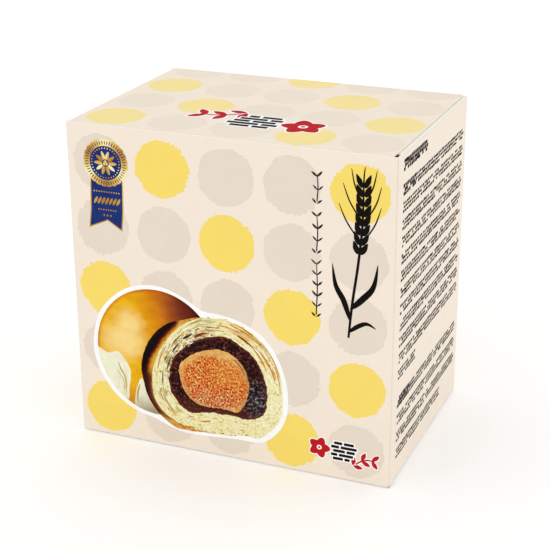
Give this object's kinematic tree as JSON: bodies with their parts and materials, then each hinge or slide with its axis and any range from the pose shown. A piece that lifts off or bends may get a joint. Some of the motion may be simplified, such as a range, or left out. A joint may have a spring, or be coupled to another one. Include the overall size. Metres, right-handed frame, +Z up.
{
  "type": "pastry carton",
  "caption": "Shut folding carton of printed paperboard for egg yolk pastries, with a tucked end panel at its top and bottom and a glued corner at the back.",
  "frame": {"origin": "centre of the bounding box's base, on the surface that the carton stands on", "axes": "+Z up, the printed front faces -Y, +X is to the right as one looks at the front"},
  "size_m": [0.12, 0.083, 0.1195],
  "materials": {
    "board": "coated paperboard printed in cream, satin"
  },
  "bodies": {
    "root": {"carton": "board"}
  },
  "joints": []
}
